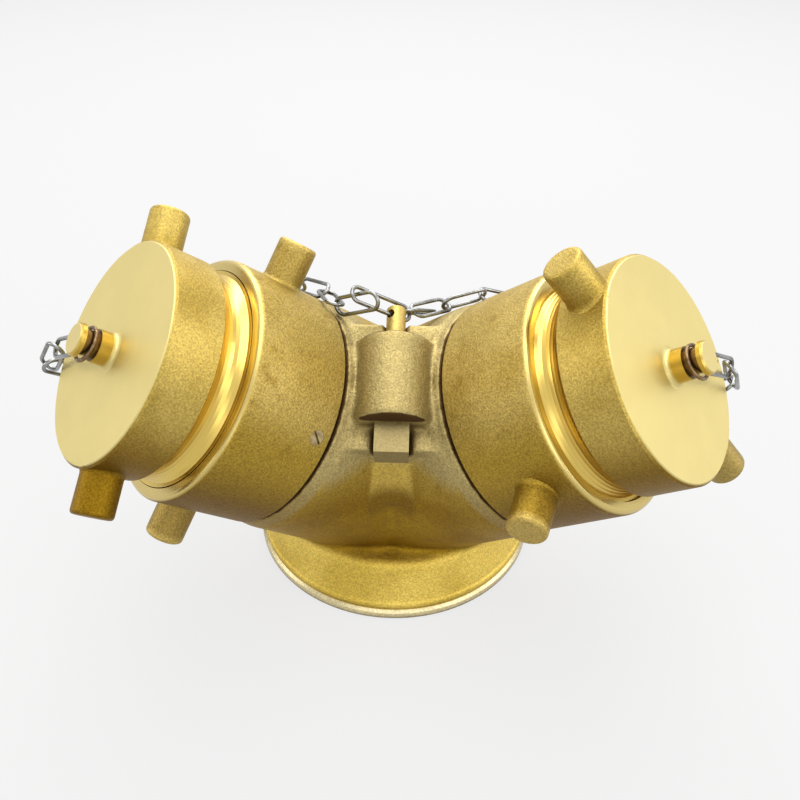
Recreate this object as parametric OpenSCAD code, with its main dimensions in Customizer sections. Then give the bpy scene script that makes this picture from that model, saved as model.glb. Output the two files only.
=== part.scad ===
// Two-way fire department connection: a brass siamese body with a threaded outlet at the bottom,
// two hose inlets that lean forward, a double clapper, swivel couplings, and screwed plugs on chains.
// The origin is the centre of the outlet face, +Z up the outlet and -Y towards the front.

/* [Body] */
// Height of the point where the two inlet axes cross, above the outlet face
axis_z = 43.2; // [42:0.1:47]
// Angle of each inlet from the middle line between them
half_angle = 45; // [44:0.5:47]
// Lean of both inlets towards the front
lean = 30; // [15:1:35]
// Outer radius of the two branch necks
neck_r = 51.2; // [50.8:0.1:53]
// Radius of the waterway inside the branches
chamber_r = 44; // [42:0.5:45]
// Outer radius of the machined band at the outlet
hub_r = 67.4; // [64:0.2:72]
// Pitch radius of the outlet pipe thread
outlet_r = 55.7; // [54:0.1:56.5]
// Depth of the outlet pipe thread
outlet_depth = 22; // [18:0.5:23]

/* [Inlets] */
// Distance from the crossing point to the front of each neck
neck_end = 75.6; // [75:0.1:78]
// Radius of the spigot that each swivel turns on
spigot_r = 40; // [39:0.1:40.5]
// Inner radius of each spigot
port_r = 35; // [33:0.5:36]
// Length of each swivel coupling
swivel_len = 41.1; // [40:0.1:46]
// Outer radius of each swivel coupling
swivel_r = 50.4; // [50:0.1:52]
// Bearing balls in each race
ball_count = 36; // [12:1:40]
// Radius of a bearing ball
ball_r = 2.75; // [2.2:0.05:2.8]

/* [Plugs] */
// Radius of a plug's head and shoulder
plug_r = 45; // [44:0.1:45.1]
// Length of a plug's head
head_len = 20.8; // [18:0.2:22]
// How much deeper the right plug is screwed in than the left one
right_turned_in = 2.2; // [0:0.1:2.4]
// Radius of a plug's stem
stem_r = 6.5; // [6:0.1:8]
// Length of a plug's stem
stem_len = 14.6; // [13.5:0.1:18]

/* [Lugs] */
// Radius of the round wrench lugs
lug_r = 8; // [6:0.2:8.4]
// Distance of a plug's lug tips from its axis
plug_lug_reach = 61.2; // [58:0.2:66]
// Distance of a swivel's lug tips from its axis
swivel_lug_reach = 67.4; // [62:0.2:70]

/* [Clapper] */
// Radius of the clapper plate
clapper_r = 36; // [34:0.5:36.5]
// Radius of the hinge pin
pin_r = 4; // [3.5:0.1:4.5]
// Length of the clapper's hinge knuckle
knuckle_len = 25.2; // [20:0.2:25.4]

/* [Chains] */
// Diameter of the chain wire
wire_d = 1.7; // [1.2:0.1:1.8]
// Outer length of a chain link
link_len = 24; // [23:0.5:25]
// Outer width of a chain link
link_w = 9; // [8.6:0.1:10]

/* [Hidden] */
$fn = 96;
eps = 0.01;
left = -1;
right = 1;

// Body shell
shell_r = 52;
shell_bore_r = 45;
branch_start = 8;
collar_r = 50.2;
collar_start = 70;
hub_band_h = 4.4;
hub_groove = 1.5;
hub_bead_top = 9.6;
bead_set_in = 1.2;
bead_round = 2.4;
hub_cone_r = 60.5;
hub_cone_top = 26;
hub_round = 2.8;
hub_ledge_h = 31;
outlet_top = 26.5;

// Clapper seats and hinge
seat_r = 32;
seat_lip = 1;
seat_deep = 5.3;
pin_b = 79;
arm_len = pin_b * sin(half_angle);
clapper_t = 9;
plate_t = 5;
seat_gap = 0.34;
seat_z = pin_b * cos(half_angle) + clapper_t / 2 + seat_gap;
arm_w = 18;
knuckle_r = 8;
pocket_r = 11;
pocket_w = 26;
slot_x = 43;
slot_low = 40;
slot_high = 59.4;
slot_w = 21;
boss_r = 16;
boss_w = 36;
web_top = 80;
web_x = 19.2;
web_w = 55;
gusset_end = 40;
gusset_top = 72;
gusset_toe = 52;
head_a = 13.5;
head_h = 12;
head_b = 79.3;
shank_r = 5;
pin_out = 35;
eye_hole_r = 1.85;
eye_hole_p = 31.2;
eye_hole_turn = 38;
bolt_r = 4;
flange_r = 12;
flange_t = 1.5;
hex_r = 7.5;
hex_h = 4.5;
bolt_out = 7;
fit = 0.05;
clear = 0.3;

// Swivel, ball race and gasket
swivel_start = neck_end + 0.9;
swivel_end = swivel_start + swivel_len;
swivel_bore_r = spigot_r + clear;
spigot_end = neck_end + 14.4;
race_z = neck_end + 7.2;
race_r = (spigot_r + swivel_bore_r) / 2;
race_groove_r = ball_r + clear;
gasket_r = 41.5;
gasket_bore_r = 32.5;
gasket_t = 4;
gasket_end = swivel_start + 18.1;
thread_bore_r = 39.2;
mouth_start = swivel_end - 5.8;
mouth_r = plug_r + 0.35;
mouth_round = 2.5;
race_screw_r = 3;
screw_slot_turn = 45;
screw_slot_w = 0.9;
screw_slot_deep = 1.2;

// Plug
left_face = swivel_end + 31.9;
plug_neck_len = 10.7;
plug_neck_r = 41;
plug_neck_end_r = 43.5;
shoulder_len = 3;
thread_root_r = 36.9;
thread_len = 17.8;
plug_bore_r = 30;
plug_wall = 7;
lug_back = 9.2;
lug_round = 1.5;
lug_foot = 2.5;
groove_r = 5;
groove_start = 6.6;
groove_end = 12.2;

// Wire ring round each stem, with the eye that the chain hooks into
ring_wire_r = 0.75;
ring_r = 6.6;
ring_drop = 0.6;
ring_tilt = 6;
ring_eye_r = 2.3;
ring_eye_out = 9.4;
eye_link_dip = 3;
eye_link_roll_left = 0.2;
eye_link_roll_right = -0.6;

// Turning angles of the lugs, race screws and ring eyes about their inlets
swivel_lug_turn_left = 324.5;
swivel_lug_turn_right = 334.5;
swivel_lug_z_left = 96;
swivel_lug_z_right = 99.5;
plug_lug_turn_left = 348;
plug_lug_turn_right = 67;
race_screw_turn_left = 238.6;
race_screw_turn_right = 40;
eye_turn_left = 75;
eye_turn_right = 285;
low_side_left = 129;
low_side_right = 231;

// Long link through the hinge pin that holds both chains
pin_link_len = 31.7;
pin_link_w = 8.2;
pin_link_shift = 8;
pin_link_dir = [-0.766, -0.328, 0.552];

// Slack links laid by hand near the pin: [one end, other end, side direction]
slack_left = [
    [[-7, -21.5, 141], [-25, -11.5, 130.5], [-0.3, 0.35, 0.8]],
    [[-24.5, -14, 133.5], [-31.5, 7, 127], [1, -0.1, -0.2]]
];
slack_right = [
    [[4, -8, 127.5], [14.5, 9.5, 116], [0.88, -0.29, 0.38]],
    [[8, -4, 125], [21, 9.5, 120.5], [0.63, -0.71, -0.3]]
];
// Routes of the chains from the slack links, behind the swivels, to the links in the rings' eyes
route_left = [[-31.5, 5.5, 128], [-49.5, 26, 120.5], [-58, 27, 113], [-75.5, 22.5, 102],
    [-95, 17.5, 94.5], [-105.5, 9, 87.5], [-119.5, -9, 91.5], [-131.5, -16, 94.5],
    [-140.5, -22.5, 104], [-143, -32.5, 113], [-133, -39, 125.5]];
route_right = [[21, 9, 121], [32, 17, 121.5], [50.5, 26, 116.5], [60, 26, 108], [77.5, 25.5, 99],
    [94, 15.5, 90.5], [104, 7.5, 83.5], [120.5, -9.5, 86.5], [127.5, -15, 92], [130.5, -19, 97.5],
    [140, -29.5, 112], [131.5, -38, 124]];

// Frames -------------------------------------------------------------------

// Frame of the inlets: x to the right, y along the hinge pin, z up the middle line
module tilt() {
    translate([0, 0, axis_z]) rotate([lean, 0, 0]) children();
}

// Frame of one inlet: z out along its axis, y along the hinge pin
module inlet(side) {
    tilt() rotate([0, side * half_angle, 0]) children();
}

// Frame of the hinge pin: z along the pin, towards the back
module on_pin() {
    tilt() translate([0, 0, pin_b]) rotate([-90, 0, 0]) children();
}

// Face of a plug, measured along its inlet
function plug_face(side) = left_face - (side == right ? right_turned_in : 0);

function arc(centre, r, from, to, steps = 6) =
    [for (i = [0:steps]) centre + r * [cos(from + (to - from) * i / steps),
                                       sin(from + (to - from) * i / steps)]];

module torus(centre_r, section_r) {
    rotate_extrude($fn = 96) translate([centre_r, 0]) circle(r = section_r, $fn = 32);
}

// Lugs ---------------------------------------------------------------------

// A round lug that stands out from a cylinder, with a flared foot and a rounded tip
module lug(base_r, reach) {
    foot_r = lug_r + lug_foot;
    foot_z = sqrt(base_r * base_r - foot_r * foot_r);
    rotate([-90, 0, 0])
        rotate_extrude($fn = 64)
            polygon(concat(
                [[0, foot_z - 2], [foot_r, foot_z - 2]],
                arc([foot_r, foot_z + lug_foot], lug_foot, 270, 180),
                arc([lug_r - lug_round, reach - lug_round], lug_round, 0, 90, 4),
                [[0, reach]]));
}

module lug_pair(z, turn, base_r, reach) {
    for (half_turn = [0, 180])
        translate([0, 0, z]) rotate([0, 0, turn + half_turn]) lug(base_r, reach);
}

// Body ---------------------------------------------------------------------

// Outlet collar: machined band, groove, bead and a cast cone up to the shell
module outlet_collar() {
    bead_r = hub_r - bead_set_in;
    rotate_extrude()
        polygon(concat(
            [[0, 0], [hub_r - 0.8, 0], [hub_r, 0.8], [hub_r, hub_band_h],
             [hub_r - hub_groove, hub_band_h + 0.3], [hub_r - hub_groove, hub_band_h + 0.9],
             [bead_r, hub_band_h + 1.2]],
            arc([bead_r - bead_round, hub_bead_top - bead_round], bead_round, 0, 50, 4),
            arc([hub_cone_r - hub_round, hub_cone_top], hub_round, 14, 82),
            [[0, hub_ledge_h]]));
}

module branch_outside(side) {
    inlet(side) {
        translate([0, 0, branch_start]) cylinder(r = neck_r, h = collar_start - branch_start);
        translate([0, 0, collar_start - 1]) cylinder(r = collar_r, h = neck_end - collar_start + 1);
        translate([0, 0, neck_end - 1]) cylinder(r = spigot_r, h = spigot_end - neck_end + 1);
    }
}

// Waterway, raised seat lip and port of one branch
module branch_bore(side) {
    inlet(side)
        rotate_extrude()
            polygon([[0, branch_start - 1], [chamber_r, branch_start - 1],
                     [chamber_r, seat_z + seat_lip], [port_r, seat_z + seat_lip],
                     [port_r, seat_z], [seat_r, seat_z], [seat_r, seat_z + seat_deep],
                     [port_r, seat_z + seat_deep], [port_r, spigot_end + 1], [0, spigot_end + 1]]);
}

module race_groove(side) {
    inlet(side) translate([0, 0, race_z]) torus(race_r, race_groove_r);
}

// Rib between the necks that carries the boss, with a ramp at the front and at the back
module web() {
    tilt() {
        translate([-web_x, -web_w / 2, web_top / 2]) cube([2 * web_x, web_w, web_top / 2]);
        for (face = [0, 1]) mirror([0, face, 0]) gusset();
    }
}

module gusset() {
    intersection() {
        rotate([90, 0, 90])
            linear_extrude(height = 40, center = true)
                polygon(concat([[-20, 20], [-20, gusset_top], [-web_w / 2, gusset_top]],
                    arc([-gusset_end + 3, gusset_toe - 3], 3, 122, 180),
                    [[-gusset_end, 20]]));
        rotate([90, 0, 0])
            linear_extrude(height = 100, center = true)
                polygon([[-7, 73], [7, 73], [13.3, 20], [-13.3, 20]]);
    }
}

module boss() {
    on_pin()
        rotate_extrude($fn = 96)
            polygon([[0, -boss_w / 2], [boss_r - 0.8, -boss_w / 2], [boss_r, 0.8 - boss_w / 2],
                     [boss_r, boss_w / 2 - 0.8], [boss_r - 0.8, boss_w / 2], [0, boss_w / 2]]);
}

// Room for the clapper's knuckle and for its arm as it swings to either seat
module hinge_pocket() {
    on_pin() translate([0, 0, -pocket_w / 2]) cylinder(r = pocket_r, h = pocket_w);
    for (side = [left, right])
        inlet(side)
            translate([-side * slot_x, 0, (slot_low + slot_high) / 2])
                cube([pocket_w, slot_w, slot_high - slot_low], center = true);
}

module pin_holes() {
    on_pin() {
        cylinder(r = pin_r + fit, h = boss_w);
        translate([0, 0, -boss_w]) cylinder(r = shank_r + fit, h = boss_w);
    }
    tilt()
        translate([0, -boss_w / 2 - 10, head_b + 10])
            cube([head_a + 0.6, 20, head_a + 20.6], center = true);
}

module body() {
    color("#c39a45")
        difference() {
            union() {
                outlet_collar();
                translate([0, 0, axis_z]) sphere(r = shell_r);
                for (side = [left, right]) branch_outside(side);
                web();
                boss();
            }
            rotate_extrude()
                polygon([[0, -10], [outlet_r, -10], [outlet_r, outlet_depth],
                         [chamber_r - 3, outlet_top], [0, outlet_top]]);
            translate([0, 0, axis_z]) sphere(r = shell_bore_r);
            for (side = [left, right]) {
                branch_bore(side);
                race_groove(side);
            }
            hinge_pocket();
            pin_holes();
        }
}

// Hinge pin ----------------------------------------------------------------

// Square-headed pin, screwed in from the front, with a cross-hole for the chains at the back
module hinge_pin() {
    color("#b88d3c")
        difference() {
            union() {
                on_pin() {
                    translate([0, 0, -boss_w / 2]) cylinder(r = shank_r, h = (boss_w - pocket_w) / 2);
                    rotate_extrude($fn = 64)
                        polygon([[0, -boss_w / 2], [pin_r, -boss_w / 2], [pin_r, pin_out - 0.6],
                                 [pin_r - 0.6, pin_out], [0, pin_out]]);
                }
                tilt()
                    translate([0, -(boss_w + head_h) / 2, head_b])
                        cube([head_a, head_h, head_a], center = true);
            }
            tilt()
                translate([0, eye_hole_p, pin_b]) rotate([0, -eye_hole_turn, 0])
                    cylinder(r = eye_hole_r, h = 4 * pin_r, center = true, $fn = 48);
        }
}

// Clapper ------------------------------------------------------------------

// Frame of the hanging clapper: z along the pin line, x across the plate, centred on the plate
module on_plate() {
    tilt() translate([0, 0, pin_b - arm_len]) rotate([0, 90, 0]) children();
}

// Plate, arm and knuckle in one casting
module clapper() {
    color("#b08a3e")
        difference() {
            union() {
                on_plate() translate([0, 0, -plate_t / 2]) cylinder(r = clapper_r, h = plate_t);
                on_plate()
                    translate([-arm_len, -arm_w / 2, -plate_t / 2])
                        cube([arm_len - clapper_r + 4, arm_w, plate_t]);
                on_pin() cylinder(r = knuckle_r, h = knuckle_len, center = true);
            }
            on_pin() cylinder(r = pin_r + fit, h = knuckle_len + 2, center = true);
            on_plate() cylinder(r = bolt_r + fit, h = plate_t + 2, center = true);
        }
}

// Rubber disc on one side of the plate
module clapper_facing(side) {
    facing_t = (clapper_t - plate_t) / 2;
    color("#2b2b2b")
        on_plate()
            translate([0, 0, side * (plate_t + facing_t) / 2])
                difference() {
                    cylinder(r = clapper_r - 1, h = facing_t, center = true);
                    cylinder(r = bolt_r + fit, h = facing_t + 2, center = true);
                }
}

// Flanged bolt that holds both facings on the plate
module clapper_bolt() {
    color("#b88d3c")
        on_plate() {
            translate([0, 0, -clapper_t / 2]) cylinder(r = bolt_r, h = clapper_t + bolt_out);
            translate([0, 0, -clapper_t / 2 - flange_t]) cylinder(r = flange_r, h = flange_t);
            translate([0, 0, -clapper_t / 2 - flange_t - hex_h])
                cylinder(r = hex_r, h = hex_h + 0.5, $fn = 6);
        }
}

module clapper_nut() {
    color("#b88d3c")
        on_plate()
            difference() {
                union() {
                    translate([0, 0, clapper_t / 2]) cylinder(r = flange_r, h = flange_t);
                    translate([0, 0, clapper_t / 2 + flange_t - 0.5])
                        cylinder(r = hex_r, h = hex_h + 0.5, $fn = 6);
                }
                cylinder(r = bolt_r + fit, h = 2 * clapper_t);
            }
}

// Swivels ------------------------------------------------------------------

// Female swivel coupling with a deep mouth, two lugs and half of the ball race
module swivel(side, lug_z, lug_turn, screw_turn) {
    color("#c9a24d")
        inlet(side)
            difference() {
                union() {
                    rotate_extrude()
                        polygon(concat(
                            [[swivel_bore_r, swivel_start], [swivel_r - 0.6, swivel_start],
                             [swivel_r, swivel_start + 0.6]],
                            arc([swivel_r - mouth_round, swivel_end - mouth_round], mouth_round, 0, 90),
                            [[mouth_r, swivel_end], [mouth_r, mouth_start],
                             [thread_bore_r, mouth_start], [thread_bore_r, gasket_end],
                             [gasket_r, gasket_end], [gasket_r, spigot_end + clear],
                             [swivel_bore_r, spigot_end + clear]]));
                    lug_pair(lug_z, lug_turn, swivel_r, swivel_lug_reach);
                }
                translate([0, 0, race_z]) torus(race_r, race_groove_r);
                translate([0, 0, race_z]) rotate([0, 0, screw_turn]) rotate([-90, 0, 0])
                    translate([0, 0, race_r]) cylinder(r = race_screw_r + fit, h = 20, $fn = 48);
            }
}

// Slotted screw that shuts the hole where the balls went in
module race_screw(side, screw_turn) {
    screw_top = swivel_r - 0.1;
    screw_bottom = race_r + race_groove_r + 0.2;
    color("#a89465")
        inlet(side)
            translate([0, 0, race_z]) rotate([0, 0, screw_turn]) rotate([-90, 0, 0])
                difference() {
                    translate([0, 0, screw_bottom])
                        cylinder(r = race_screw_r, h = screw_top - screw_bottom, $fn = 48);
                    translate([0, 0, screw_top]) rotate([0, 0, screw_slot_turn])
                        cube([3 * race_screw_r, screw_slot_w, 2 * screw_slot_deep], center = true);
                }
}

module bearing_balls(side) {
    color("#b8bcc0")
        inlet(side)
            translate([0, 0, race_z])
                for (i = [0:ball_count - 1])
                    rotate([0, 0, i * 360 / ball_count]) translate([race_r, 0, 0])
                        sphere(r = ball_r, $fn = 32);
}

module swivel_gasket(side) {
    color("#2b2b2b")
        inlet(side)
            translate([0, 0, spigot_end + clear])
                difference() {
                    cylinder(r = gasket_r - 0.4, h = gasket_t);
                    translate([0, 0, -1]) cylinder(r = gasket_bore_r, h = gasket_t + 2);
                }
}

// Plugs --------------------------------------------------------------------

// Head, waisted neck, shoulder, thread core and grooved stem, turned from one casting
module plug(side, lug_turn) {
    face = plug_face(side);
    neck_top = face - head_len;
    neck_bottom = neck_top - plug_neck_len;
    neck_dip = plug_neck_end_r - plug_neck_r;
    neck_arc_r = (pow(plug_neck_len / 2, 2) + neck_dip * neck_dip) / (2 * neck_dip);
    neck_sweep = asin(plug_neck_len / 2 / neck_arc_r);
    shoulder_bottom = neck_bottom - shoulder_len;
    thread_end = shoulder_bottom - thread_len;
    color("#cda857")
        inlet(side) {
            rotate_extrude()
                polygon(concat(
                    [[0, face - plug_wall], [0, face + stem_len], [stem_r - 0.8, face + stem_len],
                     [stem_r, face + stem_len - 0.8], [stem_r, face + groove_end],
                     [groove_r, face + groove_end], [groove_r, face + groove_start],
                     [stem_r, face + groove_start]],
                    arc([stem_r + 2, face + 2], 2, 180, 270, 4),
                    [[plug_r - 1.2, face], [plug_r, face - 1.2], [plug_r, neck_top + 0.6],
                     [plug_r - 0.6, neck_top]],
                    arc([plug_neck_r + neck_arc_r, neck_top - plug_neck_len / 2], neck_arc_r,
                        180 - neck_sweep, 180 + neck_sweep, 8),
                    [[plug_r, neck_bottom], [plug_r, shoulder_bottom],
                     [thread_root_r, shoulder_bottom], [thread_root_r, thread_end + 1],
                     [thread_root_r - 1, thread_end], [plug_bore_r, thread_end],
                     [plug_bore_r, face - plug_wall - 4], [plug_bore_r - 4, face - plug_wall]]));
            difference() {
                lug_pair(face - lug_back, lug_turn, plug_r, plug_lug_reach);
                translate([0, 0, face]) cylinder(r = 2 * plug_r, h = lug_r);
            }
        }
}

// Frame of a wire ring that hangs low and tilted in the groove of a stem, y towards its eye
module on_ring(side, eye_turn, low_side) {
    inlet(side)
        translate([0, 0, plug_face(side) + (groove_start + groove_end) / 2])
            rotate([0, 0, low_side]) translate([0, ring_drop, 0])
                rotate([ring_tilt, 0, 0]) rotate([0, 0, eye_turn - low_side]) children();
}

// Wire ring round a stem, with an eye for the chain
module stem_ring(side, eye_turn, low_side) {
    color("#6d5236")
        on_ring(side, eye_turn, low_side) {
            torus(ring_r, ring_wire_r);
            translate([0, ring_eye_out, 0]) rotate([0, 90, 0]) torus(ring_eye_r, ring_wire_r);
        }
}

// Chains -------------------------------------------------------------------

function unit(v) = v / norm(v);
function route_len(p, i = 1) = i >= len(p) ? 0 : norm(p[i] - p[i - 1]) + route_len(p, i + 1);
function route_at(p, s, i = 1) =
    let (step = norm(p[i] - p[i - 1]))
    (s <= step || i == len(p) - 1) ? p[i - 1] + (p[i] - p[i - 1]) * s / step
                                   : route_at(p, s - step, i + 1);

// An oval link: its long axis from one end towards the other, its width along side_dir
module link(from, to, side_dir, outer_len, outer_w) {
    x = unit(to - from);
    z = unit(cross(x, side_dir));
    y = cross(z, x);
    c = (from + to) / 2;
    bow_r = (outer_w - wire_d) / 2;
    straight = outer_len - outer_w;
    multmatrix([[x[0], y[0], z[0], c[0]], [x[1], y[1], z[1], c[1]], [x[2], y[2], z[2], c[2]]])
        for (end = [0, 180])
            rotate([0, 0, end]) {
                translate([straight / 2, 0, 0]) rotate([0, 0, -90])
                    rotate_extrude(angle = 180, $fn = 64)
                        translate([bow_r, 0]) circle(d = wire_d, $fn = 24);
                translate([-straight / 2, bow_r, 0]) rotate([0, 90, 0])
                    cylinder(d = wire_d, h = straight, $fn = 24);
            }
}

// Links spaced evenly along a route, each a quarter turn from the one before
module links_along(route) {
    pitch = link_len - 2 * wire_d - 0.3;
    total = route_len(route);
    count = ceil(total / pitch);
    for (i = [0:count - 1]) {
        from = route_at(route, total * i / count);
        to = route_at(route, total * (i + 1) / count);
        flat = unit(cross(unit(to - from), [0, 0.5, 1]));
        up = cross(flat, unit(to - from));
        link(from, to, i % 2 == 0 ? flat + up : flat - up, link_len, link_w);
    }
}

module slack_links(ends) {
    for (e = ends) link(e[0], e[1], e[2], link_len, link_w);
}

// Link that hooks into a ring's eye and leans down towards the rim of the plug
module eye_link(side, eye_turn, low_side, roll) {
    near = ring_eye_out - wire_d / 2;
    on_ring(side, eye_turn, low_side)
        link([0, near, 0], [0, near + link_len, -eye_link_dip], [1, 0, roll], link_len, link_w);
}

module chain_left() {
    hole = [0, eye_hole_p * cos(lean) - pin_b * sin(lean),
            axis_z + eye_hole_p * sin(lean) + pin_b * cos(lean)];
    pin_dir = [0, cos(lean), sin(lean)];
    middle = hole + pin_link_shift * pin_link_dir + (pin_link_w - wire_d) / 2 * pin_dir;
    color("#8d9296") {
        link(middle - pin_link_dir, middle + pin_link_dir, pin_dir, pin_link_len, pin_link_w);
        slack_links(slack_left);
        links_along(route_left);
        eye_link(left, eye_turn_left, low_side_left, eye_link_roll_left);
    }
}

module chain_right() {
    color("#8d9296") {
        slack_links(slack_right);
        links_along(route_right);
        eye_link(right, eye_turn_right, low_side_right, eye_link_roll_right);
    }
}

// Parts --------------------------------------------------------------------

body();
hinge_pin();
clapper();
clapper_facing(left);  // clapper_facing_left
clapper_facing(right);  // clapper_facing_right
clapper_bolt();
clapper_nut();
swivel(left, swivel_lug_z_left, swivel_lug_turn_left, race_screw_turn_left);  // swivel_left
swivel(right, swivel_lug_z_right, swivel_lug_turn_right, race_screw_turn_right);  // swivel_right
race_screw(left, race_screw_turn_left);  // race_screw_left
race_screw(right, race_screw_turn_right);  // race_screw_right
bearing_balls(left);  // bearing_balls_left
bearing_balls(right);  // bearing_balls_right
swivel_gasket(left);  // swivel_gasket_left
swivel_gasket(right);  // swivel_gasket_right
plug(left, plug_lug_turn_left);  // plug_left
plug(right, plug_lug_turn_right);  // plug_right
stem_ring(left, eye_turn_left, low_side_left);  // stem_ring_left
stem_ring(right, eye_turn_right, low_side_right);  // stem_ring_right
chain_left();
chain_right();
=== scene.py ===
import math

import bmesh
import bpy
from mathutils import Matrix, Vector


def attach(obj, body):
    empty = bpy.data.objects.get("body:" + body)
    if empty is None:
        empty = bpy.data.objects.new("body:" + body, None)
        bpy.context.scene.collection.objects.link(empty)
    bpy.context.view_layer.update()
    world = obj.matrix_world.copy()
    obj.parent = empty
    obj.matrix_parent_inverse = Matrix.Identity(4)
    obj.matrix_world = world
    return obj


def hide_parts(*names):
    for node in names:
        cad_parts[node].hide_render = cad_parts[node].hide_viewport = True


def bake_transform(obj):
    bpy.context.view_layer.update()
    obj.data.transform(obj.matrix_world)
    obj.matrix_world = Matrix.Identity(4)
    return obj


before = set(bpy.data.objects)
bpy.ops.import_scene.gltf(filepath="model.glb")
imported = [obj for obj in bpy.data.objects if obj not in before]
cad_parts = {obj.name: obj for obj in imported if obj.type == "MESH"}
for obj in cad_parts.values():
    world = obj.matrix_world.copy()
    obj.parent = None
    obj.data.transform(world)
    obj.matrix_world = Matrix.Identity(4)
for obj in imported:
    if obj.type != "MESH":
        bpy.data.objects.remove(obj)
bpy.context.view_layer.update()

# Body ---------------------------------------------------------------------
# The siamese body is one sand casting in brass: a round shell, two branch necks, a hinge boss
# between them and an outlet collar. Only the outlet band and the races are turned on a lathe,
# so every other meeting of two surfaces keeps the soft fillet that the pattern maker gave it.
lean, half_angle = math.radians(30), math.radians(45)
crossing = Vector((0, 0, 0.0432))
upright = Vector((0, 0, 1))
tilted = Matrix.Rotation(lean, 3, "X")
inlet_turn = {"left": tilted @ Matrix.Rotation(-half_angle, 3, "Y"),
              "right": tilted @ Matrix.Rotation(half_angle, 3, "Y")}
inlet_axis = {side: inlet_turn[side] @ upright for side in inlet_turn}


def add(tree, kind, **settings):
    """A new node, with its properties and unlinked inputs set by name."""
    made = tree.nodes.new("ShaderNode" + kind)
    for name, value in settings.items():
        if name in made.inputs:
            made.inputs[name].default_value = value
        else:
            setattr(made, name, value)
    return made


def wire(tree, source, target, socket):
    tree.links.new(source, target.inputs[socket])


def maths(tree, operation, a, b=0.0):
    made = add(tree, "Math", operation=operation)
    for k, value in enumerate((a, b)):
        if isinstance(value, (int, float)):
            made.inputs[k].default_value = value
        else:
            wire(tree, value, made, k)
    return made.outputs[0]


def step(tree, value, start, end):
    """0 below start and 1 above end, or the other way round."""
    made = add(tree, "MapRange", interpolation_type="SMOOTHSTEP")
    wire(tree, value, made, 0)
    low, high = sorted((start, end))
    made.inputs["From Min"].default_value = low
    made.inputs["From Max"].default_value = high
    made.inputs["To Min"].default_value = 0.0 if start < end else 1.0
    made.inputs["To Max"].default_value = 1.0 if start < end else 0.0
    return made.outputs[0]


def blend_in(tree, under, over, share):
    """Colours or numbers, mixed by a share."""
    colours = isinstance(under, tuple) or getattr(under, "type", "") == "RGBA"
    colours = colours or getattr(under, "type", "") == "VECTOR"
    made = add(tree, "Mix", data_type="RGBA" if colours else "FLOAT")
    first, second, mixed = (6, 7, 2) if colours else (2, 3, 0)
    for k, value in ((0, share), (first, under), (second, over)):
        if isinstance(value, tuple):
            made.inputs[k].default_value = (*value, 1)
        elif isinstance(value, (int, float)):
            made.inputs[k].default_value = value
        else:
            wire(tree, value, made, k)
    return made.outputs[mixed]


def both(tree, a, b):
    """A mask within another mask, or weakened by a share."""
    return maths(tree, "MULTIPLY", a, b)


def either(tree, a, b):
    return maths(tree, "MAXIMUM", a, b)


def between(tree, value, low, high, edge=0.0003):
    """1 from low to high, fading to 0 within edge of each."""
    return both(tree, step(tree, value, low - edge, low), step(tree, value, high + edge, high))


def noise(tree, vector, size, detail=3.0, roughness=0.55):
    """Mottling whose lumps are about this size, in metres."""
    made = add(tree, "TexNoise", Scale=1 / size, Detail=detail, Roughness=roughness)
    wire(tree, vector, made, "Vector")
    return made.outputs["Fac"]


def pair(tree, x, y):
    made = add(tree, "CombineXYZ")
    wire(tree, x, made, 0)
    wire(tree, y, made, 1)
    return made.outputs[0]


def reach(tree, parts):
    """Distance from the Z axis of the space that these parts of a place are in."""
    made = add(tree, "VectorMath", operation="LENGTH")
    wire(tree, pair(tree, parts.outputs[0], parts.outputs[1]), made, 0)
    return made.outputs["Value"]


def rise(tree, place, direction):
    """Distance from the crossing point along a direction."""
    made = add(tree, "VectorMath", operation="DOT_PRODUCT")
    wire(tree, place, made, 0)
    made.inputs[1].default_value = direction
    return maths(tree, "SUBTRACT", made.outputs["Value"], crossing.dot(direction))


def around(tree, place, side):
    """Distance from an inlet's axis, and distance along it from the crossing point."""
    turned = add(tree, "Mapping", vector_type="TEXTURE", Location=crossing,
                 Rotation=inlet_turn[side].to_euler("XYZ"))
    wire(tree, place, turned, "Vector")
    parts = add(tree, "SeparateXYZ")
    wire(tree, turned.outputs[0], parts, 0)
    return reach(tree, parts), parts.outputs[2]


def shade(tree, colour, factor):
    """A colour made lighter or darker by a number."""
    made = add(tree, "VectorMath", operation="SCALE")
    wire(tree, colour, made, 0)
    wire(tree, factor, made, "Scale")
    return made.outputs[0]


def granular(tree, place, size, spread):
    """A factor either side of 1 for the fine grain of blasted metal, and the grain itself."""
    grain = noise(tree, place, size, 2, 0.6)
    return blend_in(tree, 1 - spread, 1 + spread, step(tree, grain, 0.30, 0.70)), grain


def underside(tree, place, side, radius):
    """1 along the lowest line of an inlet, and -1 along its highest."""
    axis = inlet_axis[side]
    down = (axis * axis.z - upright).normalized()
    return maths(tree, "DIVIDE", rise(tree, place, down), radius)


def start_metal(name):
    """A metal material, and the sockets that its finish is built from."""
    made = bpy.data.materials.new(name)
    made.use_nodes = True
    tree = made.node_tree
    shader = tree.nodes["Principled BSDF"]
    shader.inputs["Metallic"].default_value = 1.0
    place = add(tree, "TexCoord").outputs["Object"]
    return made, tree, shader, place


def relief(tree, shader, layers):
    """Bumps stacked on each other: [(height, strength, depth in metres)]."""
    last = None
    for height, strength, depth in layers:
        made = add(tree, "Bump", Distance=depth)
        if isinstance(strength, (int, float)):
            made.inputs["Strength"].default_value = strength
        else:
            wire(tree, strength, made, "Strength")
        wire(tree, height, made, "Height")
        if last is not None:
            wire(tree, last, made, "Normal")
        last = made.outputs[0]
    wire(tree, last, shader, "Normal")


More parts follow.
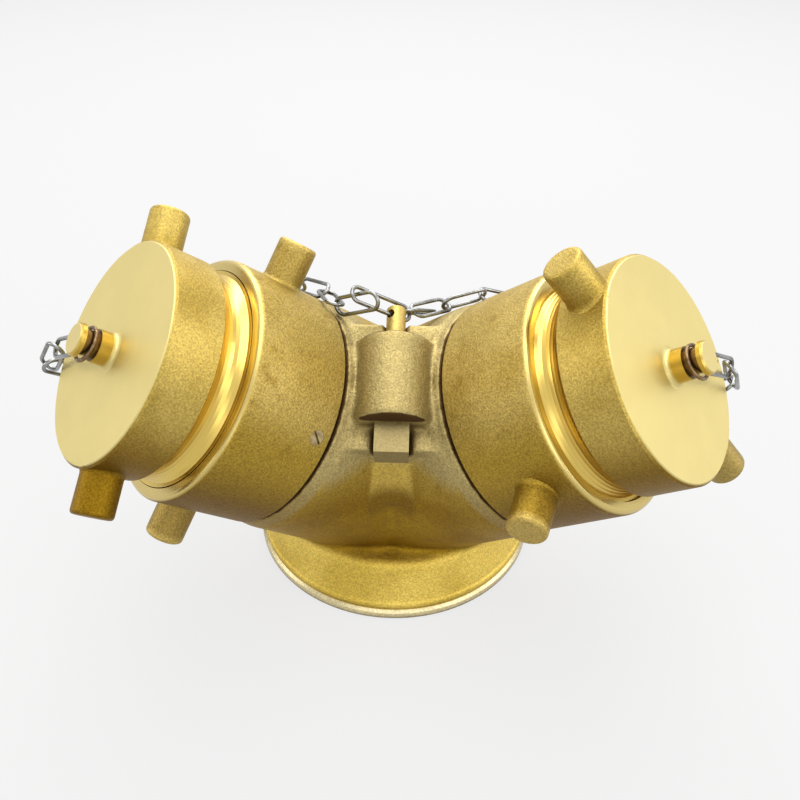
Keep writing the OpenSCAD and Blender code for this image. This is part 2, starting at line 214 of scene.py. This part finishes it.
def sand_cast_brass():
    made, tree, shader, place = start_metal("sand_cast_brass")
    cloud = noise(tree, place, 0.034, 4)
    patch = noise(tree, place, 0.009, 4, 0.6)
    glitter, grain = granular(tree, place, 0.0008, 0.20)
    parts = add(tree, "SeparateXYZ")
    wire(tree, place, parts, 0)
    height = parts.outputs[2]
    clouded = step(tree, cloud, 0.36, 0.66)
    # painted shade: the lower part of the casting is painted darker and browner than the upper part
    low = blend_in(tree, (0.215, 0.120, 0.008), (0.29, 0.175, 0.014), clouded)
    high = blend_in(tree, (0.33, 0.222, 0.040), (0.42, 0.295, 0.066), clouded)
    skin = blend_in(tree, low, high, step(tree, height, 0.066, 0.092))
    stained = both(tree, step(tree, patch, 0.56, 0.74), 0.7)
    skin = blend_in(tree, skin, (0.22, 0.130, 0.020), stained)
    rough = blend_in(tree, 0.50, 0.62, patch)

    # painted light: the collar above the outlet is painted a brighter skin
    collar_top = 0.0300
    collar_painted_light = blend_in(tree, (0.56, 0.40, 0.070), (0.70, 0.52, 0.115), clouded)
    skin = blend_in(tree, skin, collar_painted_light, step(tree, height, collar_top, collar_top - 0.0038))

    # the ramps that run down from the boss: painted light at the top, painted shade at the toe
    boss = add(tree, "Mapping", vector_type="TEXTURE", Location=crossing,
               Rotation=tilted.to_euler("XYZ"))
    wire(tree, place, boss, "Vector")
    on_boss = add(tree, "SeparateXYZ")
    wire(tree, boss.outputs[0], on_boss, 0)
    beside, before = (maths(tree, "ABSOLUTE", on_boss.outputs[k]) for k in (0, 1))
    above = on_boss.outputs[2]
    ramp_slope = 0.119
    flare = maths(tree, "ADD", beside, maths(tree, "MULTIPLY", above, ramp_slope))
    ramp = both(tree, step(tree, flare, 0.0168, 0.0145), step(tree, before, 0.0270, 0.0290))
    ramp = both(tree, ramp, step(tree, above, 0.040, 0.048))
    ramp_light_and_shade = blend_in(tree, (0.170, 0.095, 0.012), (0.58, 0.42, 0.095),
                         step(tree, above, 0.052, 0.061))
    skin = blend_in(tree, skin, ramp_light_and_shade, both(tree, ramp, 0.65))

    # the pale turned band at the outlet
    outlet_bore, band_top = 0.0560, 0.0050
    band = both(tree, step(tree, height, band_top, band_top - 0.0004),
                step(tree, reach(tree, parts), outlet_bore, outlet_bore + 0.0006))
    skin = blend_in(tree, skin, (0.60, 0.51, 0.29), band)
    rough = blend_in(tree, rough, 0.32, band)

    # filed beige collars behind the swivels, the worn top of the web, and painted shade in the race
    # gaps
    collar_start, collar_end, neck_bore = 0.0685, 0.0744, 0.0440
    crown_height, crown_half_width = 0.066, 0.030
    filed, gap_shade = 0.0, 0.0
    for side in inlet_turn:
        radius, along = around(tree, place, side)
        outside = step(tree, radius, neck_bore, neck_bore + 0.0008)
        collar = both(tree, step(tree, along, collar_start, collar_start + 0.0020), outside)
        filed = either(tree, collar, filed)
        race = both(tree, step(tree, along, collar_end, collar_end + 0.0006), outside)
        gap_shade = either(tree, race, gap_shade)
    off_middle = maths(tree, "ABSOLUTE", parts.outputs[0])
    crown = both(tree, step(tree, rise(tree, place, tilted @ upright),
                            crown_height, crown_height + 0.008),
                 step(tree, off_middle, crown_half_width, crown_half_width - 0.006))
    filed = either(tree, filed, crown)
    # painted shade: the filed skin is darker towards the bottom
    filed_skin = blend_in(tree, (0.27, 0.185, 0.060), (0.37, 0.30, 0.135),
                          step(tree, height, 0.060, 0.095))
    skin = blend_in(tree, skin, filed_skin, both(tree, filed, 0.80))
    skin = shade(tree, skin, glitter)

    # painted shade where two surfaces meet, darker the more enclosed the spot
    nook = add(tree, "AmbientOcclusion", Distance=0.007, samples=8)
    painted_shade = both(tree, step(tree, nook.outputs["AO"], 0.78, 0.38), blend_in(tree, 0.45, 0.95, patch))
    # painted shadow on the tops of the boss's two end faces, under its rim
    boss_end, shadow_from = 0.0180, 0.0864
    end = between(tree, before, boss_end - 0.0007, boss_end + 0.0008)
    end = both(tree, end, step(tree, above, shadow_from, shadow_from + 0.0012))
    # painted shade in the nooks, under the boss's rim and in the race gaps, all in one dark brown
    painted_shade = either(tree, either(tree, painted_shade, end), gap_shade)
    skin = blend_in(tree, skin, (0.085, 0.045, 0.016), painted_shade)
    rough = blend_in(tree, rough, 0.70, painted_shade)

    wire(tree, skin, shader, "Base Color")
    wire(tree, rough, shader, "Roughness")
    coarse = blend_in(tree, 0.75, 0.06, band)
    relief(tree, shader, [(noise(tree, place, 0.012, 3), blend_in(tree, 0.20, 0.0, band), 0.0012),
                          (noise(tree, place, 0.0026, 2), coarse, 0.0004),
                          (grain, coarse, 0.00028)])
    return made


def soft_casting(node_name, voxel, cut_height):
    """A copy of a casting, filleted above cut_height. Turned metal keeps its edges."""
    collar_foot = 0.0125  # height over the outlet's face where the fillets begin
    mid_wall = 0.0475  # from a waterway's middle, between its bore and the outer skin
    spigot_start = 0.0745  # along an inlet from the crossing point
    boss_half_width, boss_foot = 0.0235, 0.046
    crisp_rounds, soft_rounds = 3, 9
    sharp_angle = math.radians(38)

    sharp = bmesh.new()
    sharp.from_mesh(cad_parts[node_name].data)
    bmesh.ops.remove_doubles(sharp, verts=sharp.verts, dist=1e-6)
    whole = bpy.data.meshes.new(node_name + "_whole")
    sharp.to_mesh(whole)
    carrier = bpy.data.objects.new(node_name + "_carrier", whole)
    bpy.context.scene.collection.objects.link(carrier)
    remesh = carrier.modifiers.new("fine", "REMESH")
    remesh.mode = "VOXEL"
    remesh.voxel_size = voxel
    view = bpy.context.evaluated_depsgraph_get()
    fine = bpy.data.meshes.new_from_object(carrier.evaluated_get(view))
    bpy.data.objects.remove(carrier)
    cast = bmesh.new()
    cast.from_mesh(fine)

    def shell_side(place):
        """Distance outwards from the nearest waterway's middle."""
        out = place - crossing
        spans = [out.length]
        for axis in inlet_axis.values():
            along = out.dot(axis)
            if 0 < along < spigot_start:
                spans.append((out - along * axis).length)
        return min(spans)

    def near_the_boss(place):
        """Whether a point is on the boss, its web or the ramps, whose edges are sharper."""
        local = tilted.transposed() @ (place - crossing)
        return abs(local.x) < boss_half_width and local.z > boss_foot

    skin = [v for v in cast.verts if v.co.z > collar_foot and shell_side(v.co) > mid_wall]
    crisp = set(v for v in skin if near_the_boss(v.co))
    for rounds in range(soft_rounds):
        soft = skin if rounds < crisp_rounds else [v for v in skin if v not in crisp]
        bmesh.ops.smooth_vert(cast, verts=soft, factor=0.5,
                              use_axis_x=True, use_axis_y=True, use_axis_z=True)
    for part, lower in ((sharp, False), (cast, True)):
        bmesh.ops.bisect_plane(part, geom=part.verts[:] + part.edges[:] + part.faces[:],
                               dist=1e-7, plane_co=(0, 0, cut_height), plane_no=(0, 0, 1),
                               clear_inner=lower, clear_outer=not lower)
    low = bpy.data.meshes.new(node_name + "_turned")
    sharp.to_mesh(low)
    cast.from_mesh(low)
    made = bpy.data.meshes.new(node_name + "_casting")
    cast.to_mesh(made)
    sharp.free()
    cast.free()
    for face in made.polygons:
        face.use_smooth = True
    made.set_sharp_from_angle(angle=sharp_angle)
    return made


def place_piece(name, mesh, material, body):
    """A finished piece, riding on its body."""
    made = bpy.data.objects.new(name, mesh)
    bpy.context.scene.collection.objects.link(made)
    mesh.materials.clear()
    mesh.materials.append(material)
    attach(made, body)
    return made


casting = soft_casting("body", voxel=0.00135, cut_height=0.0098)
body_casting = place_piece("body_casting", casting, sand_cast_brass(), "frame")
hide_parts("body")

# Swivels ------------------------------------------------------------------
# Each swivel is cast in brass and bored on a lathe: blasted outside, bright inside its deep mouth,
# with a pale turned rim. It turns on steel balls in a race behind a slotted screw.


def give(node_name, material):
    """A CAD node takes a finish."""
    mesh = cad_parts[node_name].data
    mesh.materials.clear()
    mesh.materials.append(material)


def swivel_brass(side):
    made, tree, shader, place = start_metal("swivel_brass_" + side)
    radius, along = around(tree, place, side)
    cloud = noise(tree, place, 0.030, 3)
    patch = noise(tree, place, 0.008, 4, 0.6)
    glitter, grain = granular(tree, place, 0.00075, 0.24)
    lug_ends, mouth_radius, mouth_start = 0.0665, 0.0460, 0.0915
    rim_radius, rim_start, neck_gap = 0.0450, 0.1158, 0.0768

    # dull above, with painted shade underneath and painted light off the floor along the lowest
    # line
    low = underside(tree, place, side, radius)
    high = blend_in(tree, (0.36, 0.255, 0.060), (0.45, 0.335, 0.100), step(tree, cloud, 0.35, 0.65))
    skin = blend_in(tree, high, (0.34, 0.225, 0.032), step(tree, low, -0.55, -0.10))
    skin = blend_in(tree, skin, (0.165, 0.088, 0.006), step(tree, low, -0.05, 0.55))
    floor_light = both(tree, step(tree, low, 0.78, 0.98), 0.8)
    skin = blend_in(tree, skin, (0.36, 0.26, 0.075), floor_light)
    stained = both(tree, step(tree, patch, 0.56, 0.76), 0.6)
    skin = blend_in(tree, skin, (0.24, 0.150, 0.022), stained)
    rough = blend_in(tree, 0.48, 0.60, patch)

    # the lugs' ends are rubbed bright by spanners
    rubbed = both(tree, step(tree, radius, lug_ends - 0.0035, lug_ends), 0.7)
    skin = blend_in(tree, skin, (0.50, 0.37, 0.110), rubbed)
    skin = shade(tree, skin, glitter)

    # turned surfaces: the threaded mouth and the rim round it
    bore = both(tree, step(tree, radius, mouth_radius + 0.0006, mouth_radius),
                step(tree, along, mouth_start - 0.0010, mouth_start))
    skin = blend_in(tree, skin, (0.66, 0.48, 0.11), bore)
    rough = blend_in(tree, rough, 0.29, bore)
    rim = both(tree, step(tree, along, rim_start, rim_start + 0.0014),
               step(tree, radius, rim_radius, rim_radius + 0.0006))
    skin = blend_in(tree, skin, (0.62, 0.48, 0.17), rim)
    rough = blend_in(tree, rough, 0.27, rim)
    turned = either(tree, bore, rim)

    # painted shade in the gap at the neck
    gap_shade = step(tree, along, neck_gap + 0.0006, neck_gap)
    skin = blend_in(tree, skin, (0.070, 0.038, 0.015), gap_shade)
    rough = blend_in(tree, rough, 0.65, gap_shade)

    wire(tree, skin, shader, "Base Color")
    wire(tree, rough, shader, "Roughness")
    tool_marks = noise(tree, pair(tree, radius, along), 0.0006, 2)
    relief(tree, shader, [
        (noise(tree, place, 0.010, 2), blend_in(tree, 0.12, 0.0, turned), 0.0010),
        (noise(tree, place, 0.0022, 2), blend_in(tree, 0.55, 0.0, turned), 0.0003),
        (grain, blend_in(tree, 0.80, 0.03, turned), 0.00025),
        (tool_marks, blend_in(tree, 0.03, 0.12, turned), 0.00008)])
    return made


def plain_metal(name, colour, darker, size, rough, depth):
    """Small turned or drawn pieces: one metal, a little uneven in colour and polish."""
    made, tree, shader, place = start_metal(name)
    uneven = noise(tree, place, size, 3)
    skin = blend_in(tree, colour, darker, step(tree, uneven, 0.35, 0.70))
    wire(tree, skin, shader, "Base Color")
    wire(tree, blend_in(tree, rough - 0.06, rough + 0.08, uneven), shader, "Roughness")
    relief(tree, shader, [(noise(tree, place, size / 6, 2), 0.35, depth)])
    return made


screw_brass = plain_metal("screw_brass", (0.50, 0.40, 0.20), (0.30, 0.22, 0.11),
                          size=0.0025, rough=0.40, depth=0.0001)
ball_steel = plain_metal("ball_steel", (0.62, 0.62, 0.63), (0.50, 0.50, 0.51),
                         size=0.003, rough=0.16, depth=0.00002)
thread_brass = plain_metal("thread_brass", (0.66, 0.49, 0.14), (0.52, 0.36, 0.09),
                           size=0.006, rough=0.28, depth=0.00003)


def rubber():
    made, tree, shader, place = start_metal("black_rubber")
    shader.inputs["Metallic"].default_value = 0.0
    bloom = noise(tree, place, 0.006, 3)
    skin = blend_in(tree, (0.018, 0.018, 0.019), (0.045, 0.044, 0.042), bloom)
    wire(tree, skin, shader, "Base Color")
    wire(tree, blend_in(tree, 0.55, 0.75, bloom), shader, "Roughness")
    relief(tree, shader, [(noise(tree, place, 0.0008, 2), 0.3, 0.00008)])
    return made


black_rubber = rubber()
for side in inlet_turn:
    give("swivel_" + side, swivel_brass(side))
    give("race_screw_" + side, screw_brass)
    give("bearing_balls_" + side, ball_steel)
    give("swivel_gasket_" + side, black_rubber)


def thread(name, root, depth, pitch, start, end, body, matrix):
    """A helical ridge that stands depth out of its root, or into a bore if depth is negative."""
    facets = 48
    sunk = math.copysign(0.00015, depth)
    turns = (end - start) / pitch
    ridge = ((root - sunk, 0.0), (root + depth, 0.42), (root + depth, 0.50), (root - sunk, 0.92))
    made = bmesh.new()
    corners = [made.verts.new((radius, 0, start + share * pitch)) for radius, share in ridge]
    profile = made.faces.new(corners)
    bmesh.ops.spin(made, geom=[profile] + list(profile.edges) + corners,
                   cent=(0, 0, 0), axis=(0, 0, 1), dvec=(0, 0, pitch / facets),
                   angle=turns * math.tau, steps=round(turns * facets),
                   use_merge=False, use_duplicate=False)
    bmesh.ops.recalc_face_normals(made, faces=made.faces)
    bmesh.ops.transform(made, matrix=matrix, verts=made.verts)
    mesh = bpy.data.meshes.new(name)
    made.to_mesh(mesh)
    made.free()
    place_piece(name, mesh, thread_brass, body)


hose_pitch, pipe_pitch = 0.0033867, 0.003175
along_inlet = {side: Matrix.Translation(crossing) @ inlet_turn[side].to_4x4()
               for side in inlet_turn}
for side in inlet_turn:
    thread("swivel_thread_" + side, root=0.0392, depth=-0.0006, pitch=hose_pitch,
           start=0.0962, end=0.1085, body="coupling_" + side,
           matrix=along_inlet[side])
thread("outlet_thread", root=0.0557, depth=-0.0009, pitch=pipe_pitch,
       start=0.0012, end=0.0190, body="frame", matrix=Matrix.Identity(4))

# Plugs --------------------------------------------------------------------
# Each plug is a brass casting turned all over: a broad matt face, a blasted head with two round
# lugs, a bright waist, a shoulder and the thread. Its grooved stem holds the chain's wire ring.


def plug_brass(side, face):
    made, tree, shader, place = start_metal("plug_brass_" + side)
    radius, along = around(tree, place, side)
    cloud = noise(tree, place, 0.028, 3)
    glitter, grain = granular(tree, place, 0.00075, 0.22)
    waist_start, waist_end = face - 0.0345, face - 0.0212
    groove_start, groove_end = face + 0.0064, face + 0.0124
    face_radius, waist_radius, stem_radius, groove_radius = 0.0448, 0.0470, 0.0068, 0.0060

    # the head, with painted shade underneath and painted light off the floor along its lowest line
    low = underside(tree, place, side, radius)
    skin = blend_in(tree, (0.36, 0.250, 0.050), (0.45, 0.330, 0.085), step(tree, cloud, 0.35, 0.65))
    skin = blend_in(tree, skin, (0.200, 0.112, 0.007), step(tree, low, -0.15, 0.45))
    floor_light = both(tree, step(tree, low, 0.80, 0.98), 0.8)
    skin = blend_in(tree, skin, (0.36, 0.27, 0.085), floor_light)
    skin = shade(tree, skin, glitter)
    rough = blend_in(tree, 0.46, 0.56, cloud)

    # the bright waist and shoulder, and the matt face
    waist = between(tree, along, waist_start, waist_end)
    waist = both(tree, waist, step(tree, radius, waist_radius + 0.0010, waist_radius))
    skin = blend_in(tree, skin, (0.66, 0.48, 0.12), waist)
    rough = blend_in(tree, rough, 0.28, waist)
    front = both(tree, step(tree, along, face - 0.0006, face - 0.0002),
                 step(tree, radius, face_radius + 0.0004, face_radius))
    mild = noise(tree, place, 0.016, 3)
    face_skin = blend_in(tree, (0.56, 0.465, 0.190), (0.63, 0.525, 0.215), mild)
    skin = blend_in(tree, skin, face_skin, front)
    rough = blend_in(tree, rough, 0.50, front)

    # the stem: bright round its side, matt on its end, brown in its groove
    stem = both(tree, step(tree, along, face + 0.0012, face + 0.0022),
                step(tree, radius, stem_radius + 0.0004, stem_radius))
    skin = blend_in(tree, skin, (0.55, 0.38, 0.080), stem)
    rough = blend_in(tree, rough, 0.30, stem)
    stem_end = both(tree, stem, step(tree, along, face + 0.0142, face + 0.0145))
    skin = blend_in(tree, skin, (0.56, 0.46, 0.20), stem_end)
    rough = blend_in(tree, rough, 0.50, stem_end)
    groove = both(tree, stem, between(tree, along, groove_start, groove_end))
    groove = both(tree, groove, step(tree, radius, groove_radius + 0.0004, groove_radius))
    skin = blend_in(tree, skin, (0.17, 0.10, 0.03), groove)

    smooth = either(tree, either(tree, waist, front), stem)
    wire(tree, skin, shader, "Base Color")
    wire(tree, rough, shader, "Roughness")
    tool_marks = noise(tree, pair(tree, radius, along), 0.0005, 2)
    relief(tree, shader, [
        (noise(tree, place, 0.012, 2), blend_in(tree, 0.08, 0.0, smooth), 0.0008),
        (grain, blend_in(tree, 0.70, 0.03, smooth), 0.00022),
        (tool_marks, blend_in(tree, 0.04, 0.08, smooth), 0.00006)])
    return made


plug_face = {"left": 0.1495, "right": 0.1473}
thread_foot, thread_top = 0.0512, 0.0352
ring_wire = plain_metal("ring_wire", (0.26, 0.17, 0.09), (0.12, 0.07, 0.04),
                        size=0.002, rough=0.38, depth=0.00006)
for side, face in plug_face.items():
    give("plug_" + side, plug_brass(side, face))
    thread("plug_thread_" + side, root=0.0369, depth=0.0013, pitch=hose_pitch,
           start=face - thread_foot, end=face - thread_top, body="stopper_" + side,
           matrix=along_inlet[side])
    give("stem_ring_" + side, ring_wire)

# Hinge pin and clapper ----------------------------------------------------
# A square-headed brass pin is screwed through the boss and carries the clapper, a cast plate with
# a rubber facing on each side, clamped by one flanged bolt and its nut.


def pin_brass():
    made, tree, shader, place = start_metal("pin_brass")
    cloud = noise(tree, place, 0.006, 3)
    glitter, grain = granular(tree, place, 0.0008, 0.14)
    skin = blend_in(tree, (0.50, 0.36, 0.10), (0.58, 0.44, 0.15), cloud)
    parts = add(tree, "SeparateXYZ")
    wire(tree, place, parts, 0)
    head_start = -0.056
    head = step(tree, parts.outputs[1], head_start, head_start - 0.002)
    head_skin = blend_in(tree, (0.25, 0.195, 0.080), (0.30, 0.24, 0.11), cloud)
    skin = blend_in(tree, skin, head_skin, head)
    wire(tree, shade(tree, skin, glitter), shader, "Base Color")
    wire(tree, blend_in(tree, 0.44, 0.58, cloud), shader, "Roughness")
    relief(tree, shader, [(grain, 0.35, 0.00015)])
    return made


give("hinge_pin", pin_brass())
flap_brass = plain_metal("flap_brass", (0.44, 0.30, 0.07), (0.30, 0.20, 0.045),
                         size=0.012, rough=0.45, depth=0.0003)
give("clapper", flap_brass)
give("clapper_bolt", thread_brass)
give("clapper_nut", thread_brass)
give("clapper_facing_left", black_rubber)
give("clapper_facing_right", black_rubber)

# Chains -------------------------------------------------------------------
# Two lengths of oval steel links hang from the eye of the hinge pin, run slack behind the
# swivels, and hook into the wire rings on the plugs' stems, so a plug can't be lost.


def chain_steel():
    made, tree, shader, place = start_metal("chain_steel")
    tarnish = noise(tree, place, 0.011, 3)
    speck = noise(tree, place, 0.0012, 2)
    skin = blend_in(tree, (0.30, 0.305, 0.30), (0.13, 0.125, 0.11), step(tree, tarnish, 0.42, 0.64))
    specked = both(tree, step(tree, speck, 0.60, 0.75), 0.6)
    skin = blend_in(tree, skin, (0.14, 0.12, 0.10), specked)
    wire(tree, skin, shader, "Base Color")
    wire(tree, blend_in(tree, 0.20, 0.38, speck), shader, "Roughness")
    relief(tree, shader, [(speck, 0.25, 0.00006)])
    return made


steel = chain_steel()
for side, outward in (("left", -1), ("right", 1)):
    links = bmesh.new()
    links.from_mesh(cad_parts["chain_" + side].data)
    bmesh.ops.remove_doubles(links, verts=links.verts, dist=1e-6)
    mesh = bpy.data.meshes.new("links_" + side)
    links.to_mesh(mesh)
    links.free()
    for face in mesh.polygons:
        face.use_smooth = True
    mesh.materials.clear()
    mesh.materials.append(steel)
    chain = bpy.data.objects.new("links_" + side, mesh)
    bpy.context.scene.collection.objects.link(chain)
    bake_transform(chain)
    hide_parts("chain_" + side)

# Stand, light and camera --------------------------------------------------
# The connection stands on its outlet on a plain pale floor, lit by broad soft lamps, most of all
# from above and behind.


def seen(tree):
    """1 for the rays that show a background, to the camera or in metal or glass."""
    path = add(tree, "LightPath").outputs
    reflected = either(tree, path["Is Glossy Ray"], path["Is Transmission Ray"])
    return either(tree, path["Is Camera Ray"], reflected)


def pale_floor():
    made = bpy.data.materials.new("pale_floor")
    made.use_nodes = True
    tree = made.node_tree
    shader = tree.nodes["Principled BSDF"]
    shader.inputs["Base Color"].default_value = (0.42, 0.42, 0.42, 1)
    shader.inputs["Roughness"].default_value = 0.9
    shader.inputs["Specular IOR Level"].default_value = 0.0
    white = add(tree, "Emission", Color=(1, 1, 1, 1), Strength=1.0)
    share = add(tree, "MixShader")
    wire(tree, both(tree, seen(tree), 0.75), share, 0)
    wire(tree, shader.outputs[0], share, 1)
    wire(tree, white.outputs[0], share, 2)
    wire(tree, share.outputs[0], tree.nodes["Material Output"], "Surface")
    return made


floor_height = -0.0003
ground = bmesh.new()
bmesh.ops.create_circle(ground, cap_ends=True, segments=64, radius=6.0,
                        matrix=Matrix.Translation((0, 0, floor_height)))
ground_mesh = bpy.data.meshes.new("floor")
ground.to_mesh(ground_mesh)
ground.free()
floor = bpy.data.objects.new("floor", ground_mesh)
bpy.context.scene.collection.objects.link(floor)
ground_mesh.materials.append(pale_floor())

world = bpy.data.worlds.new("studio")
bpy.context.scene.world = world
world.use_nodes = True
sky = world.node_tree
sky.nodes["Background"].inputs["Color"].default_value = (1, 1, 1, 1)
wire(sky, blend_in(sky, 0.45, 1.0, seen(sky)), sky.nodes["Background"], "Strength")


def soft_lamp(name, power, place, width, height, aim_height=0.08):
    """A lamp of some watts, turned to the middle of the connection."""
    lamp = bpy.data.lights.new(name, "AREA")
    lamp.shape = "RECTANGLE"
    lamp.size, lamp.size_y = width, height
    lamp.energy = power
    made = bpy.data.objects.new(name, lamp)
    bpy.context.scene.collection.objects.link(made)
    made.location = place
    towards = Vector((0, 0, aim_height)) - Vector(place)
    made.rotation_euler = towards.to_track_quat("-Z", "Y").to_euler()


soft_lamp("overhead", 9.0, (0, 0, 1.2), width=1.0, height=1.0)
soft_lamp("behind", 13.0, (0, 0.9, 0.9), width=1.2, height=0.6)
soft_lamp("left", 4.5, (-1.3, -0.1, 0.6), width=0.7, height=0.7)
soft_lamp("right", 6.5, (1.3, -0.1, 0.6), width=0.7, height=0.7)
soft_lamp("front_right", 3.0, (1.0, -0.9, 0.7), width=0.7, height=0.7)
soft_lamp("front", 3.0, (0, -1.4, 0.6), width=1.4, height=0.5, aim_height=0.05)

lens = bpy.data.cameras.new("camera")
lens.sensor_width = 36
lens.lens = 38.7
lens.clip_start = 0.01
camera = bpy.data.objects.new("camera", lens)
bpy.context.scene.collection.objects.link(camera)
across = Vector((0.9995, 0.0287, 0.0120))
upward = Vector((-0.0271, 0.6144, 0.7885))
back = Vector((0.0153, -0.7885, 0.6149))
facing = Matrix((across, upward, back)).transposed().to_4x4()
camera.matrix_world = Matrix.Translation((0.00791, -0.31455, 0.31929)) @ facing
bpy.context.scene.camera = camera
bpy.context.scene.view_settings.view_transform = "Standard"
